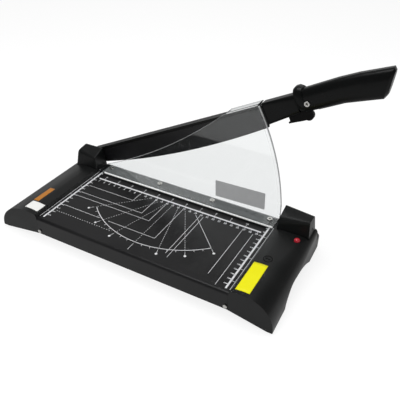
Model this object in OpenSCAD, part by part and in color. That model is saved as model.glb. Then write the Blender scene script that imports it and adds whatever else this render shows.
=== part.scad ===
// Lever-arm paper cutter: folded bed, two moulded end caps, clear guard that is also the paper clamp,
// hinged blade arm with a moulded grip and lock latch, and a line laser in the right tower.
// +X runs along the cut away from the hinge, +Y to the rear, +Z up; the origin is on the table under the
// middle of the overall box. The pieces are drawn about the middle of the bed and moved there at the end.

/* [Bed] */
// Width of the bed between the end caps
bed_w = 316; // [250:1:460]
// Depth of the bed from the front fold to the cutting edge
bed_d = 175; // [160:1:320]
// Height of the bed surface above the table
bed_h = 40; // [38:1:60]
// Thickness of the bed sheet
sheet_t = 1.5; // [1:0.1:2.5]
// Height of the folded front lip
lip_h = 28; // [22:1:32]
// Outer radius of the front fold
fold_r = 4; // [2.5:0.5:8]
// Length of sheet that runs under each end cap
bed_lap = 8; // [7:0.5:12]

/* [Counter blade] */
// Thickness of the fixed counter blade
counter_t = 3; // [2:0.5:5]
// Height of the fixed counter blade
counter_h = 20; // [14:1:22]
// Number of screws that hold the counter blade
counter_screw_n = 5; // [3:1:9]

/* [End caps] */
// Width of the left cap at its front
left_cap_w = 74; // [70:1:100]
// Width of the left cap at its rear
left_rear_w = 66; // [64:1:90]
// Width of the right cap at its front
right_cap_w = 62.7; // [60:0.1:90]
// Width of the right cap at its rear
right_rear_w = 57.3; // [56:0.1:80]
// Height of the cap crown above the bed
crown_h = 6.4; // [5.5:0.1:10]
// Lean of the caps' edges away from the bed
edge_lean = 2.5; // [0:0.5:3]
// Wall of the mouldings
cap_wall = 3; // [2:0.25:4]
// Reach of the left cap's shoulder at the front
left_front_run = 55; // [30:1:58]
// Fall of the left cap's shoulder at the front
left_front_drop = 43.9; // [30:0.1:43.9]
// Reach of the left cap's shoulder at the rear
left_rear_run = 47; // [20:1:48]
// Fall of the left cap's shoulder at the rear
left_rear_drop = 30; // [10:1:40]
// Shoulder radius at the front of the right cap
right_front_r = 40; // [16:1:40]
// Shoulder radius at the rear of the right cap
right_rear_r = 9; // [8:1:16]
// Depth of the low shelf behind the cutting edge
shelf_d = 15.5; // [12:0.5:24]
// Height of that shelf above the table
shelf_h = 28; // [20:1:29]
// Rise of the skirt's lower edge at the bed
skirt_rise = 12; // [4:1:16]
// Distance of the finger arch from the cap's front
arch_start = 47; // [30:1:60]
// Span of the finger arch in the outer wall
arch_w = 106; // [60:1:120]
// Distance of the arch's highest place from its front end
arch_lead = 33; // [20:1:50]
// Height of the finger arch above the table
arch_h = 25; // [10:1:28]
// Diameter of a rubber foot
foot_d = 12; // [8:1:13]
// Height that a foot stands below the cap
foot_h = 1.5; // [1:0.25:3]

/* [Towers] */
// Height of the tower tops above the bed
tower_h = 31; // [29:1:45]
// Depth of the towers
tower_d = 29; // [27:1:36]
// Width of the hinge tower
hinge_tower_w = 43; // [42:1:46]
// Width of the laser tower
laser_tower_w = 49; // [46:0.5:49]
// Distance of the hinge tower from the bed
hinge_tower_in = 1; // [0.5:0.5:2]
// Distance of the laser tower from the bed
laser_tower_in = 4; // [3:0.5:5]
// Lean of the hinge tower's inner end over its height
hinge_lean = 6; // [0:0.5:7]
// Lean of the laser tower's ends and the hinge tower's outer end
laser_lean = 2; // [0:0.5:3]
// Wall of the towers
tower_wall = 2.5; // [1.5:0.25:3]

/* [Arm] */
// Distance of the pivot from the bed
pivot_in = 24; // [20:1:26]
// Height of the pivot above the bed
pivot_up = 8; // [6:0.5:9]
// Raised angle of the arm at rest
open_angle = 27; // [20:1:40]
// Height of the bar's top above the pivot line at the hinge
bar_top = 14.6; // [13:0.1:17]
// Fall of the bar's top towards the grip
bar_drop = 1.6; // [0:0.1:2.5]
// Height of the bar at the hinge
bar_h = 22.6; // [20:0.1:25]
// Thickness of the bar
bar_t = 13; // [10:0.1:14]
// Thickness of the blade
blade_t = 2.5; // [2:0.1:4]
// Drop of the cutting edge below the pivot line at the hinge
edge_near = 11; // [10:0.5:16]
// Drop of the cutting edge below the pivot line at the grip
edge_far = 18.3; // [15:0.1:20]
// Extra belly of the cutting edge at its middle
edge_belly = 10; // [4:0.5:12]
// Number of screws that hold the blade to the bar
blade_screw_n = 5; // [3:1:9]
// Diameter of the pivot bolt
bolt_d = 10; // [8:0.5:10]

/* [Grip] */
// Length of the neck between bar and collar
neck_l = 46; // [44:1:60]
// Thickness of the collar
collar_t = 9; // [6:0.5:12]
// Height that the collar stands above the pivot line
collar_top = 22.8; // [20:0.2:28]
// Half width of the collar
collar_hw = 13.5; // [12.5:0.5:14]
// Length of the handle beyond the collar
handle_l = 120; // [100:1:140]
// Half width of the handle
handle_hw = 12; // [11:0.5:13]
// Lean of the handle's end face
handle_lean = 32; // [10:1:40]

/* [Latch] */
// Thickness of the latch
latch_t = 6; // [4:0.5:7]
// Reach of the latch hook from its screw
latch_reach = 33; // [31:0.5:34]
// Radius of the thumb knob
knob_r = 7; // [5:0.5:8]

/* [Guard] */
// Thickness of the clear guard
guard_t = 3; // [2:0.25:4]
// Depth of the guard's foot on the bed
guard_foot_d = 26; // [20:1:28]
// Length of the guard's lip over the arm
lip_l = 53; // [30:1:80]
// Depth of the guard's lip over the arm
lip_d = 15.5; // [10:0.5:18]
// Sag of the guard's upper edge
guard_sag = 11; // [0:1:16]
// Width of the rim along the guard's round edge
rim_w = 4; // [3:0.5:10]
// Free height for paper under the press strip
paper_gap = 2; // [1.6:0.1:3]
// Thickness of the steel press strip
strip_t = 1.5; // [1:0.1:2]
// Distance of the outer guard screws from the ends of the bed
guard_screw_in = 15.5; // [14:0.5:30]
// Diameter of the clamp posts
post_d = 5; // [4:0.5:6]

/* [Laser] */
// Diameter of the laser module
laser_d = 10; // [8:0.5:12]
// Length of the laser module
laser_l = 26; // [20:1:30]
// Diameter of the push button
button_d = 8.5; // [7:0.5:9]
// Travel of the push button
button_travel = 1.5; // [0.8:0.1:2]
// Diameter of the battery cap
battery_cap_d = 10.5; // [10:0.1:12]
// Diameter of a button cell
cell_d = 7.9; // [6.8:0.1:9]

/* [Fasteners] */
// Diameter of the self-tapping screws in the mouldings
tap_d = 2.9; // [2.5:0.1:3.5]
// Diameter of their heads
tap_head_d = 6; // [5.5:0.5:8]
// Diameter of the counter blade screws
counter_screw_d = 4.2; // [3:0.1:5]
// Diameter of the grip screws
grip_screw_d = 3.1; // [2.5:0.1:3.5]
// Diameter of the laser leads
lead_d = 1.6; // [1:0.1:2.4]

/* [Hidden] */
$fn = 64;

// Clearances: a sliding fit, a loose fit, a seat between two mouldings and room beside a moving piece
run_fit = 0.05;
set_fit = 0.03;
seat_fit = 0.2;
free_gap = 0.3;
blade_gap = 0.25;
eps = 0.01;

// Main planes
front_y = -95;
cut_y = front_y + bed_d;
cap_rear_y = cut_y - 0.5;
shelf_rear_y = cap_rear_y + shelf_d;
bed_x = bed_w / 2;
crown_z = bed_h + crown_h;
tower_top = bed_h + tower_h;
tower_front_y = cap_rear_y - tower_d;
seat_z = bed_h;
side_drop = 1.4;
crown_run = 15;

// Pivot and arm
pivot_x = -bed_x - pivot_in;
pivot_z = bed_h + pivot_up;
blade_y = cut_y + blade_gap;
bar_y = blade_y + blade_t;
bar_rear_y = bar_y + bar_t;
bar_mid_y = bar_y + bar_t / 2;
bar_low = bar_top - bar_h;
bar_far = bar_top - bar_drop;
guard_r = bed_w + pivot_in - 4;
neck_s = guard_r + 1.5;
collar_s = neck_s + neck_l;
handle_s = collar_s + collar_t;
blade_s0 = 14;
blade_s1 = neck_s - free_gap;
blade_top = bar_far - 4;
lip_front_y = blade_y + 0.3;
tang_t = 7;
tang_s = handle_s + 0.68 * handle_l;
grip_split_y = bar_mid_y + 2;
grip_y = cap_rear_y + collar_hw + 2;
bush_d = bolt_d + 4;

// Latch
hub_s = handle_s + 5;
hub_h = -1;
hub_r = 5;
latch_y = grip_split_y - latch_t / 2;
tang_low = hub_h + hub_r + 0.6;
tang_top = bar_far - 2.6;

// Pivot stack, from the plate inside the tower to the bolt head behind the arm
plate_t = 4;
plate_y = cap_rear_y - cap_wall - plate_t;
nut_h = 6;
nut_af = 1.7 * bolt_d;
spacer_y = plate_y + plate_t;
washer_t = (bar_y - cut_y) / 2 - 0.2;
head_washer_t = 1.2;
bolt_head_h = 5;

// Guard and clamp
guard_y = cap_rear_y - guard_t;
strip_z = bed_h + paper_gap;
foot_z = strip_z + strip_t;
foot_t = 2.5;
lip_gap = 1.55;
lip_t = 1.4;
lip_top = bar_top - bar_drop * (guard_r - lip_l) / neck_s + lip_gap + lip_t;
guard_half = bed_x - 4;
post_y = guard_y - 10.3;
guard_screw_shift = 3.2;
guard_screw_x = [for (i = [0:3])
    -bed_x + guard_screw_in + guard_screw_shift + i * (bed_w - 2 * guard_screw_in) / 3];
post_x = [guard_screw_x[0], guard_screw_x[3]];
rivet_x = [guard_screw_x[1], guard_screw_x[2]];
screw_head_d = 8;
screw_head_h = 1.2;
screw_bore_d = 3.2;
post_low_z = 20;
collar_gap = free_gap;
cup_floor_z = 13;
cup_wall = 1.5;
post_collar_d = 9;
post_collar_h = 2;
cup_d = post_collar_d + 2 + 2 * cup_wall;

// Electronics in the right cap
laser_x0 = bed_x + laser_tower_in;
laser_face_x = laser_x0 + laser_lean + tower_wall + 0.1;
laser_y = cap_rear_y - tower_d / 2 + 1;
laser_z = bed_h + 17.9;
lens_d = 6;
lens_t = 1.5;
button_x = bed_x + 40.2;
button_y = tower_front_y - 12.6;
button_proud = 4;
button_dome = 2.4;
stop_z = crown_z - cap_wall - 1.7;
board_x = bed_x + 36;
board_y = button_y - 10;
board_w = 34;
board_d = 30;
board_t = 1.6;
board_z = crown_z - 17.5;
board_boss_x = [board_x - board_w / 2 + 6, board_x + 3];
board_boss_y = board_y - board_d / 2 + 4;
switch_h = 5;
battery_x = bed_x + 20;
battery_y = front_y + 78;
cell_t = 3.6;
cell_n = 3;
holder_wall = 2;
holder_top = crown_z - cap_wall - side_drop;

// Small fasteners
tap_room = 0.9;
tap_bite = 0.1;
tap_head_h = 1.6;
counter_hole_d = counter_screw_d + 0.2;
counter_head_d = counter_screw_d + 3.8;
lip_screw_x = bed_x - 3;
lip_screw_z = bed_h - lip_h + 5;
tab_w = 9;
lap_boss_x = bed_x + cap_wall + 2.2;
lap_boss_d = 6;
lap_boss_y = [front_y + 40, cut_y - 45];

// Points of an arc in the plane
function arc(cx, cy, r, a0, a1, n = 12) =
    [for (i = [0:n]) let (a = a0 + (a1 - a0) * i / n) [cx + r * cos(a), cy + r * sin(a)]];

// A point given along and above the raised arm, in the upright plane of the cut
function on_arm_point(s, h) = [
    pivot_x + s * cos(open_angle) - h * sin(open_angle),
    pivot_z + s * sin(open_angle) + h * cos(open_angle)];

// Points of a superellipse, squarer than an ellipse
function squircle(a, b, n = 2.6, steps = 32) = [for (i = [0:steps - 1]) let (t = 360 * i / steps)
    [a * sign(cos(t)) * pow(abs(cos(t)), 2 / n), b * sign(sin(t)) * pow(abs(sin(t)), 2 / n)]];

// Outline drawn in the upright XZ plane, given depth from y0 to y1
module along_y(y0, y1) translate([0, y1, 0]) rotate([90, 0, 0]) linear_extrude(y1 - y0) children();

// Outline drawn in the upright YZ plane, given width from x0 to x1
module along_x(x0, x1) translate([x0, 0, 0]) rotate([90, 0, 90]) linear_extrude(x1 - x0) children();

// Solid between two closed outlines in space that have the same number of points
module skin(a, b) {
    n = len(a);
    polyhedron(
        points = concat(a, b),
        faces = concat([[for (i = [0:n - 1]) i]], [[for (i = [n - 1:-1:0]) n + i]],
            [for (i = [0:n - 1]) let (j = (i + 1) % n) [i, n + i, n + j]],
            [for (i = [0:n - 1]) let (j = (i + 1) % n) [i, n + j, j]]));
}

// Solid between two outlines of the XZ plane, one at y0 and one at y1
module loft(a, b, y0, y1) skin([for (p = a) [p[0], y0, p[1]]], [for (p = b) [p[0], y1, p[1]]]);

module rod_y(d, y0, y1, x = 0, z = 0) translate([x, y0, z]) rotate([-90, 0, 0]) cylinder(d = d, h = y1 - y0);
module rod_x(d, x0, x1, y = 0, z = 0) translate([x0, y, z]) rotate([0, 90, 0]) cylinder(d = d, h = x1 - x0);
module rod_z(d, z0, z1, x = 0, y = 0) translate([x, y, z0]) cylinder(d = d, h = z1 - z0);
module block(x, y, z) translate([x[0], y[0], z[0]]) cube([x[1] - x[0], y[1] - y[0], z[1] - z[0]]);

// Places its children on the raised arm: x along the arm from the pivot, z square to it
module on_arm() translate([pivot_x, 0, pivot_z]) rotate([0, -open_angle, 0]) children();

// Pan head screw along +Y, head in front
module screw_y(d, head_d, head_h, y0, y1, x, z) {
    rod_y(head_d, y0 - head_h, y0, x, z);
    rod_y(d, y0 - eps, y1, x, z);
}

// Bed: one folded sheet with a front lip and a rear flange

bed_rear_y = cut_y - counter_t;
lip_z = bed_h - lip_h;
flange_z = bed_h - counter_h;

module bed_tray() color([0.2, 0.2, 0.2]) difference() {
    union() {
        // sheet between the caps with its two folds
        along_x(-bed_x + seat_fit, bed_x - seat_fit) polygon(concat(
            [[front_y, lip_z]],
            arc(front_y + fold_r, bed_h - fold_r, fold_r, 180, 90),
            [[bed_rear_y, bed_h], [bed_rear_y, flange_z], [bed_rear_y - sheet_t, flange_z],
             [bed_rear_y - sheet_t, bed_h - sheet_t]],
            arc(front_y + fold_r, bed_h - fold_r, fold_r - sheet_t, 90, 180),
            [[front_y + sheet_t, lip_z]]));
        // laps that run under the cap rims
        for (side = [-1, 1]) block(
            side > 0 ? [bed_x - 1, bed_x + bed_lap] : [-bed_x - bed_lap, -bed_x + 1],
            [front_y + cap_wall + 1, min(plate_y, bed_rear_y) - 1],
            [bed_h - sheet_t, bed_h]);
    }
    for (x = post_x) rod_z(post_d + 2 * run_fit, bed_h - 2 * sheet_t, bed_h + 1, x, post_y);
    for (x = counter_screw_x())
        rod_y(counter_hole_d, bed_rear_y - 2 * sheet_t, bed_rear_y + 1, x, counter_screw_z);
    for (side = [-1, 1]) {
        rod_y(tap_d + tap_room, front_y - 1, front_y + 3, side * lip_screw_x, lip_screw_z);
        for (y = lap_boss_y) rod_z(tap_d + tap_room, bed_h - 3, bed_h + 1, side * lap_boss_x, y);
    }
}

// Counter blade: the fixed steel edge of the bed

counter_screw_z = bed_h - counter_h / 2;
counter_half = min(-post_x[0], post_x[1]) - cup_d / 2 - counter_head_d / 2 - 2;
counter_sunk = 1.6;
function counter_screw_x() = [for (i = [0:counter_screw_n - 1])
    -counter_half + i * 2 * counter_half / (counter_screw_n - 1)];

module counter_blade() color([0.62, 0.63, 0.65]) difference() {
    block([-bed_x + seat_fit, bed_x - seat_fit], [bed_rear_y, cut_y], [flange_z, bed_h]);
    for (x = counter_screw_x()) {
        rod_y(counter_hole_d, bed_rear_y - 1, cut_y + 1, x, counter_screw_z);
        rod_y(counter_head_d + 0.2, cut_y - counter_sunk, cut_y + 1, x, counter_screw_z);
    }
}

module counter_blade_screws() color([0.55, 0.55, 0.57]) for (x = counter_screw_x()) {
    rod_y(counter_head_d, cut_y - counter_sunk, cut_y - 0.2, x, counter_screw_z);
    rod_y(counter_screw_d, bed_rear_y - sheet_t - 5, cut_y - counter_sunk + eps, x, counter_screw_z);
    // nut behind the flange
    translate([x, bed_rear_y - sheet_t, counter_screw_z]) rotate([90, 0, 0])
        cylinder(d = counter_head_d, h = 3, $fn = 6);
}

// End caps: hollow mouldings drawn as the right one, x outward from the bed

// Shape of a cap: width, reach and fall of its shoulder, each at the front and at the rear
left_shape = [left_cap_w, left_rear_w, left_front_run, left_rear_run, left_front_drop, left_rear_drop];
right_shape = [right_cap_w, right_rear_w, right_front_r, right_rear_r, right_front_r, right_rear_r];
function cap_at(front, rear, y) = front + (rear - front) * (y - front_y) / (cap_rear_y - front_y);
function cap_w(shape, y) = cap_at(shape[0], shape[1], y);
function cap_run(shape, y) = cap_at(shape[2], shape[3], y);
function cap_drop(shape, y) = cap_at(shape[4], shape[5], y);

// Outline of a cap at one place along it, drawn in by an inset
function cap_profile(shape, inset, low, y) = let (
        w = cap_w(shape, y) - inset,
        top = crown_z - inset,
        run = min(cap_run(shape, y) - inset, w - inset - crown_run - 1),
        drop = min(cap_drop(shape, y) - inset, top - low - 1))
    concat([[inset, low], [inset, bed_h + 0.5], [inset + edge_lean, top - side_drop], [inset + crown_run, top]],
        [for (p = arc(0, 0, 1, 90, 0, 16)) [w - run + run * p[0], top - drop + drop * p[1]]], [[w, low]]);

module cap_block(shape, inset, low, y0, y1)
    loft(cap_profile(shape, inset, low, y0), cap_profile(shape, inset, low, y1), y0, y1);

shelf_r = 8;
function shelf_profile(shape, inset, low, y) = let (
        w = cap_w(shape, y) - inset - 0.05,
        top = shelf_h - inset,
        r = shelf_r - inset)
    concat([[inset, low], [inset, top]], arc(w - r, top - r, r, 90, 0, 8), [[w, low]]);

module shelf_block(shape, inset, low, y0, y1)
    loft(shelf_profile(shape, inset, low, y0), shelf_profile(shape, inset, low, y1), y0, y1);

foot_block = foot_d + 4;
foot_seat_z = foot_h + 2.5;
function foot_y() = [front_y + cap_wall + foot_block / 2, shelf_rear_y - cap_wall - foot_block / 2];
function foot_x(shape, y) = cap_w(shape, y + foot_block / 2) - cap_wall - foot_block / 2;

// Outline of the finger arch: a steep front end and a long tail
arch_y0 = front_y + arch_start;
arch_tail = arch_w - arch_lead;
function arch_outline() = concat([[arch_y0, -1]],
    [for (p = arc(0, 0, 1, 180, 90, 10)) [arch_y0 + arch_lead + arch_lead * p[0], arch_h * p[1]]],
    [for (i = [1:12]) let (t = i / 12) [arch_y0 + arch_lead + arch_tail * t, arch_h * (1 - t * t)]],
    [[arch_y0 + arch_w, -1]]);

module cap_shell(shape) difference() {
    union() {
        difference() {
            union() {
                cap_block(shape, 0, foot_h, front_y, cap_rear_y);
                shelf_block(shape, 0, foot_h, cap_rear_y - cap_wall, shelf_rear_y);
            }
            // hollow, open at the bottom
            difference() {
                cap_block(shape, cap_wall, -1, front_y + cap_wall, cap_rear_y - cap_wall);
                // thicker roof under the tower seats
                block([0, shape[0]], [tower_front_y - 1, cap_rear_y], [seat_z - 2, crown_z]);
            }
            shelf_block(shape, cap_wall, -1, cap_rear_y - cap_wall - 6, shelf_rear_y - cap_wall);
            // open towards the bed, below the rim
            block([-1, cap_wall + eps], [front_y + cap_wall, cap_rear_y - cap_wall], [0, bed_h]);
            block([-1, bed_lap + 1], [front_y + cap_wall, cap_rear_y - cap_wall - 2],
                [bed_h - 2 * sheet_t, bed_h]);
            // lower edge of the skirt
            along_y(front_y - 1, shelf_rear_y + 1)
                polygon([[-1, -1], [shape[0] + 1, -1], [shape[0] + 1, 0], [shape[0], 0], [-1, skirt_rise]]);
            along_x(shape[1] - cap_wall - 6, shape[0] + 1) polygon(arch_outline());
        }
        // foot sockets, tab behind the bed lip, bosses over the bed laps
        for (y = foot_y())
            block([foot_x(shape, y) - foot_block / 2, foot_x(shape, y) + foot_block / 2 + cap_wall / 2],
                [y - foot_block / 2 - eps, y + foot_block / 2 + eps], [foot_h, foot_h + 8]);
        block([-tab_w, cap_wall + eps], [front_y + sheet_t, front_y + sheet_t + 3], [lip_z + 0.5, lip_z + 11]);
        for (y = lap_boss_y) rod_z(lap_boss_d, bed_h, crown_z - side_drop - 2.3, lap_boss_x - bed_x, y);
    }
    for (y = foot_y()) rod_z(foot_d + 2 * set_fit, 0, foot_seat_z, foot_x(shape, y), y);
    rod_y(tap_d + tap_bite, front_y + sheet_t - 1, front_y + 6, lip_screw_x - bed_x, lip_screw_z);
    for (y = lap_boss_y) rod_z(tap_d + tap_bite, bed_h - 1, bed_h + 4, lap_boss_x - bed_x, y);
}

module tower_seat(x0, x1) block([x0, x1], [tower_front_y - seat_fit, cap_rear_y + 1], [seat_z, crown_z + 9]);

plate_w = 36;
module left_cap() color([0.15, 0.155, 0.155]) difference() {
    translate([-bed_x, 0, 0]) mirror([1, 0, 0]) cap_shell(left_shape);
    tower_seat(hinge_x0 - seat_fit, -bed_x + 1);
    // way up for the pivot plate and its nut
    block([pivot_x - plate_w / 2 - 1, pivot_x + plate_w / 2 + 1], [plate_y - nut_h - 4, plate_y + plate_t],
        [seat_z - 4, crown_z + 1]);
    for (p = plate_screws()) rod_y(tap_d + tap_bite, plate_y, cap_rear_y - 0.6, p[0], p[1]);
}

module right_cap() color([0.15, 0.155, 0.155]) difference() {
    union() {
        translate([bed_x, 0, 0]) cap_shell(right_shape);
        // bosses that carry the circuit board, stop of the button, ring over the battery holder
        for (x = board_boss_x) rod_z(6, board_z + board_t, crown_z - cap_wall / 2, x, board_boss_y);
        rod_z(button_d + 6, stop_z, crown_z - cap_wall / 2 - 1.2, button_x, button_y);
        rod_z(battery_cap_d + 2 * holder_wall, holder_top, crown_z - cap_wall / 2, battery_x, battery_y);
    }
    tower_seat(laser_x0 - seat_fit, laser_x0 + laser_tower_w + seat_fit);
    rod_z(button_d + 2 * free_gap, crown_z - 2 * cap_wall, crown_z + 1, button_x, button_y);
    rod_z(battery_cap_d + 2 * run_fit, crown_z - 2 * cap_wall, crown_z + 1, battery_x, battery_y);
    // lead hole into the tower
    rod_z(4, seat_z - 5, seat_z + 1, lead_x, lead_y);
    for (x = board_boss_x) rod_z(2, board_z, board_z + board_t + 7, x, board_boss_y);
    for (p = catch_screws()) rod_y(2.6, cap_rear_y - cap_wall + 0.5, cap_rear_y + 1, p[0], p[1]);
}

// Towers: separate shells that stand in seats on the caps, each a blend between two leaned end outlines

// Corner b between a and c, eased over a setback r
function soft(a, b, c, r, n = 6) = let (p = b + r * (a - b) / norm(a - b), q = b + r * (c - b) / norm(c - b))
    [for (i = [0:n]) let (t = i / n) (1 - t) * (1 - t) * p + 2 * t * (1 - t) * b + t * t * q];

// End of a tower: foot and top places from front to rear with the setbacks of the two top corners,
// drawn in by an inset; the end face leans by lean over the tower's height
function tower_end(x, lean, front, rear, foot_in, ease, inset) = let (
        low = [tower_front_y + foot_in + inset, inset > 0 ? seat_z - 1 : seat_z],
        high = front + [inset, -inset],
        back = rear - [inset, inset],
        foot = [cap_rear_y - inset, inset > 0 ? seat_z - 1 : seat_z],
        ring = concat([low], soft(low, high, back, ease[0]), soft(high, back, foot, ease[1]), [foot]))
    [for (p = ring) [x + lean * (p[1] - seat_z) / tower_h, p[0], p[1]]];

hinge_x0 = -bed_x - hinge_tower_in - hinge_tower_w;
hinge_x1 = -bed_x - hinge_tower_in;
module hinge_blend(inset) skin(
    tower_end(hinge_x1 - inset, -hinge_lean, [tower_front_y + 3, tower_top - 6.5], [cap_rear_y, tower_top + 1],
        0, [3, 3], inset),
    tower_end(hinge_x0 + inset, laser_lean, [tower_front_y + 6, tower_top - 2.5], [cap_rear_y, tower_top + 0.8],
        0, [6, 5], inset));

module hinge_tower() color([0.16, 0.165, 0.165]) difference() {
    hinge_blend(0);
    hinge_blend(tower_wall);
    // notch that lets the shell down over the pivot spacer
    rod_y(bush_d + 2, plate_y, cap_rear_y + 1, pivot_x, pivot_z);
    block([pivot_x - bush_d / 2 - 1, pivot_x + bush_d / 2 + 1], [plate_y, cap_rear_y + 1],
        [seat_z - 1, pivot_z]);
}

laser_x1 = laser_x0 + laser_tower_w;
module laser_blend(inset) skin(
    tower_end(laser_x1 - inset, -laser_lean, [tower_front_y + 2.5, tower_top], [cap_rear_y - 6.5, tower_top],
        1, [4, 3], inset),
    tower_end(laser_x0 + inset, laser_lean, [tower_front_y + 3, tower_top - 9.5], [cap_rear_y, tower_top],
        0, [9, 3], inset));

slot_y = cap_rear_y - 13;
slot_z = bed_h + 12.5;
module laser_tower() color([0.16, 0.165, 0.165]) difference() {
    laser_blend(0);
    laser_blend(tower_wall);
    rod_x(lens_d + 2 * set_fit, laser_x0 - 1, laser_face_x + 1, laser_y, laser_z);
    // small moulded slot in the outer end
    block([laser_x1 - laser_lean - 1, laser_x1 + 1], [slot_y - 1.2, slot_y + 1.2], [slot_z - 2, slot_z + 2]);
}

// Feet and cap screws

module rubber_feet() color([0.06, 0.06, 0.06]) {
    for (y = foot_y()) {
        rod_z(foot_d, 0, foot_seat_z, bed_x + foot_x(right_shape, y), y);
        rod_z(foot_d, 0, foot_seat_z, -bed_x - foot_x(left_shape, y), y);
    }
}

module lip_screws() color([0.2, 0.2, 0.2]) for (side = [-1, 1])
    screw_y(tap_d, tap_head_d, tap_head_h, front_y, front_y + 5.5, side * lip_screw_x, lip_screw_z);

module cap_screws() color([0.5, 0.5, 0.52]) for (side = [-1, 1], y = lap_boss_y) {
    rod_z(tap_head_d, bed_h - sheet_t - tap_head_h, bed_h - sheet_t, side * lap_boss_x, y);
    rod_z(tap_d, bed_h - sheet_t - eps, bed_h + 3.5, side * lap_boss_x, y);
}

// Pivot: a steel plate in the left tower carries the bolt on which the arm turns

plate_z0 = 15;
function plate_screws() = [for (side = [-1, 1]) [pivot_x + side * 12, plate_z0 + 7]];

module pivot_plate() color([0.5, 0.51, 0.53]) difference() {
    along_y(plate_y, plate_y + plate_t) union() {
        translate([pivot_x - plate_w / 2, plate_z0]) square([plate_w, pivot_z - plate_z0 - plate_w / 4]);
        translate([pivot_x - plate_w / 4, plate_z0]) square([plate_w / 2, pivot_z - plate_z0]);
        translate([pivot_x, pivot_z]) circle(d = plate_w * 0.62);
    }
    rod_y(bolt_d + 2 * set_fit, plate_y - 1, plate_y + plate_t + 1, pivot_x, pivot_z);
    for (p = plate_screws()) rod_y(4.2, plate_y - 1, plate_y + plate_t + 1, p[0], p[1]);
}

module pivot_plate_screws() color([0.5, 0.5, 0.52])
    for (p = plate_screws()) screw_y(tap_d, tap_head_d, tap_head_h, plate_y, cap_rear_y - 0.8, p[0], p[1]);

module pivot_spacer() color([0.6, 0.6, 0.62]) difference() {
    rod_y(bush_d, spacer_y, cut_y, pivot_x, pivot_z);
    rod_y(bolt_d + 2 * set_fit, spacer_y - 1, cut_y + 1, pivot_x, pivot_z);
}

bolt_head_y = bar_rear_y + free_gap + head_washer_t;
module pivot_bolt() color([0.55, 0.56, 0.58]) {
    rod_y(bolt_d, plate_y - nut_h - 2, bolt_head_y + eps, pivot_x, pivot_z);
    translate([pivot_x, bolt_head_y, pivot_z]) rotate([-90, 0, 0])
        cylinder(d = 1.8 * bolt_d, h = bolt_head_h, $fn = 6);
}

module pivot_nut() color([0.55, 0.56, 0.58])
    translate([pivot_x, plate_y, pivot_z]) rotate([90, 0, 0]) difference() {
        cylinder(d = nut_af / cos(30), h = nut_h, $fn = 6);
        translate([0, 0, -1]) cylinder(d = bolt_d + 2 * set_fit, h = nut_h + 2);
    }

// Friction washer and spring washer in front of the arm, flat washer under the bolt head
module washer(d, y0, t) difference() {
    rod_y(d, y0, y0 + t, pivot_x, pivot_z);
    rod_y(bolt_d + 2 * run_fit, y0 - 1, y0 + t + 1, pivot_x, pivot_z);
}
module pivot_washers() color([0.7, 0.66, 0.5]) {
    washer(2.2 * bolt_d, cut_y + 0.05, washer_t);
    washer(2 * bolt_d, cut_y + 0.1 + washer_t, washer_t);
    washer(2.2 * bolt_d, bar_rear_y + free_gap, head_washer_t);
}

// Arm: bar with the blade in a rebate on its front, drawn along the arm

// Height of the bar's top at a place along the arm
function bar_top_at(s) = bar_top - bar_drop * s / neck_s;
bar_end_s = neck_s - free_gap;

module arm_bar() color([0.12, 0.12, 0.125]) on_arm() difference() {
    union() {
        // round hinge end and straight bar in one outline
        along_y(bar_y, bar_rear_y) polygon(concat(
            arc(0, 0, bar_top, 90, 360 - asin(-bar_low / bar_top), 40),
            [[bar_end_s, bar_low], [bar_end_s, bar_top_at(bar_end_s)]]));
        // lip that covers the blade's upper edge
        along_y(lip_front_y, bar_y + eps) polygon([[blade_s0, blade_top + 0.1], [blade_s1, blade_top + 0.1],
            [blade_s1, bar_top_at(blade_s1)], [blade_s0, bar_top_at(blade_s0)]]);
        // tang inside the grip
        block([neck_s - 1, tang_s], [bar_mid_y - tang_t / 2, bar_mid_y + tang_t / 2], [tang_low, tang_top]);
    }
    rod_y(bush_d + 2 * set_fit, bar_y - 1, bar_rear_y + 1);
    for (s = blade_screw_s()) rod_y(4.2, bar_y - 1, bar_rear_y + 1, s, blade_screw_h);
}

blade_screw_h = (blade_top + bar_low) / 2;
function blade_screw_s() = [for (i = [0:blade_screw_n - 1])
    blade_s0 + 16 + i * (blade_s1 - blade_s0 - 32) / (blade_screw_n - 1)];

// Height of the cutting edge at a place from 0 to 1 along the blade
function edge_at(t) = -edge_near + (edge_near - edge_far) * t - 4 * edge_belly * t * (1 - t);
edge_steps = 28;
bevel_h = 3;

module blade() color([0.1, 0.1, 0.105]) on_arm() difference() {
    along_y(blade_y, bar_y) polygon(concat(
        [[blade_s1, blade_top], [blade_s0, blade_top]],
        [for (i = [0:edge_steps]) let (t = i / edge_steps)
            [blade_s0 + t * (blade_s1 - blade_s0), edge_at(t)]]));
    for (s = blade_screw_s()) rod_y(3.4, blade_y + 0.8, bar_y + 1, s, blade_screw_h);
    // ground bevel on the rear side, in short straight lengths
    for (i = [0:edge_steps - 1]) blade_bevel(i / edge_steps, (i + 1) / edge_steps);
}

// Wedge that grinds one length of the edge, leaving a land at the front
module blade_bevel(t0, t1) {
    s0 = blade_s0 + t0 * (blade_s1 - blade_s0);
    s1 = blade_s0 + t1 * (blade_s1 - blade_s0);
    slope = atan2(edge_at(t1) - edge_at(t0), s1 - s0);
    translate([s0, 0, edge_at(t0)]) rotate([0, -slope, 0])
        along_x(-0.2, (s1 - s0) / cos(slope) + 0.2)
            polygon([[blade_y + 0.4, -1], [blade_y + 0.4, 0], [bar_y + 0.2, bevel_h], [bar_y + 0.2, -1]]);
}

module blade_screws() color([0.5, 0.5, 0.52]) on_arm() for (s = blade_screw_s()) {
    rod_y(3.3, blade_y + 1, bar_rear_y + eps, s, blade_screw_h);
    rod_y(7, bar_rear_y, bar_rear_y + 2, s, blade_screw_h);
}

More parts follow.
